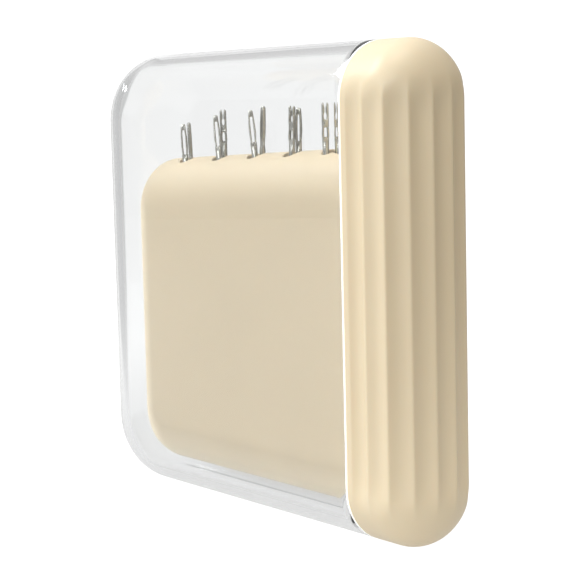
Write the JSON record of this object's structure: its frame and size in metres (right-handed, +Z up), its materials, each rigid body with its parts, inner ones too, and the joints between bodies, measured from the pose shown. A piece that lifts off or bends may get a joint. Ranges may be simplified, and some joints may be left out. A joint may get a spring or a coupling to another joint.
{
  "type": "magnetic needle case",
  "caption": "Clear pocket case with a fluted pull-out grip whose flat holder keeps large-eye sewing needles standing on a magnet.",
  "frame": {"origin": "middle of the foot of the closed case, the middle of its overall width and depth", "axes": "+X towards the fluted grip, the way the drawer pulls out; +Z up; -Y is the front, +Y the back with the holder's cover"},
  "size_m": [0.082, 0.018, 0.076],
  "materials": {
    "clear_plastic": "clear, polished",
    "beige_plastic": "satin, moulded",
    "needle_steel": "nickel plated",
    "keeper_steel": "rolled",
    "magnet": "sintered, ground"
  },
  "bodies": {
    "sleeve": {"clear_sleeve": "clear_plastic"},
    "drawer": {"fluted_grip": "beige_plastic", "grip_closing_plate": "beige_plastic", "holder_body": "beige_plastic", "holder_back_cover": "beige_plastic", "magnet_tray": "beige_plastic", "keeper_plate": "keeper_steel", "magnet_bar": "magnet"},
    "needle_1_back": {"needle_1_back": "needle_steel"},
    "needle_1_front": {"needle_1_front": "needle_steel"},
    "needle_2_back": {"needle_2_back": "needle_steel"},
    "needle_2_front": {"needle_2_front": "needle_steel"},
    "needle_3_back": {"needle_3_back": "needle_steel"},
    "needle_3_front": {"needle_3_front": "needle_steel"},
    "needle_4_back": {"needle_4_back": "needle_steel"},
    "needle_4_front": {"needle_4_front": "needle_steel"},
    "needle_5_back": {"needle_5_back": "needle_steel"},
    "needle_5_front": {"needle_5_front": "needle_steel"}
  },
  "joints": [
    {"name": "drawer_slide", "type": "slide", "parent": "sleeve", "child": "drawer", "axis": [1, 0, 0], "range_m": [0, 0.07]},
    {"name": "needle_1_back_lift", "type": "slide", "parent": "drawer", "child": "needle_1_back", "axis": [-0.0593, 0, 0.9982], "range_m": [0, 0.0096]},
    {"name": "needle_1_front_lift", "type": "slide", "parent": "drawer", "child": "needle_1_front", "axis": [-0.0802, 0, 0.9968], "range_m": [0, 0.0098]},
    {"name": "needle_2_back_lift", "type": "slide", "parent": "drawer", "child": "needle_2_back", "axis": [-0.0192, 0, 0.9998], "range_m": [0, 0.0075]},
    {"name": "needle_2_front_lift", "type": "slide", "parent": "drawer", "child": "needle_2_front", "axis": [-0.1132, 0, 0.9936], "range_m": [0, 0.0084]},
    {"name": "needle_3_back_lift", "type": "slide", "parent": "drawer", "child": "needle_3_back", "axis": [0.0645, 0, 0.9979], "range_m": [0, 0.0071]},
    {"name": "needle_3_front_lift", "type": "slide", "parent": "drawer", "child": "needle_3_front", "axis": [-0.1288, 0, 0.9917], "range_m": [0, 0.0077]},
    {"name": "needle_4_back_lift", "type": "slide", "parent": "drawer", "child": "needle_4_back", "axis": [0.0279, 0, 0.9996], "range_m": [0, 0.0074]},
    {"name": "needle_4_front_lift", "type": "slide", "parent": "drawer", "child": "needle_4_front", "axis": [0.0349, 0, 0.9994], "range_m": [0, 0.0072]},
    {"name": "needle_5_back_lift", "type": "slide", "parent": "drawer", "child": "needle_5_back", "axis": [0.0332, 0, 0.9995], "range_m": [0, 0.0051]},
    {"name": "needle_5_front_lift", "type": "slide", "parent": "drawer", "child": "needle_5_front", "axis": [0, 0, 1], "range_m": [0, 0.0068]}
  ]
}
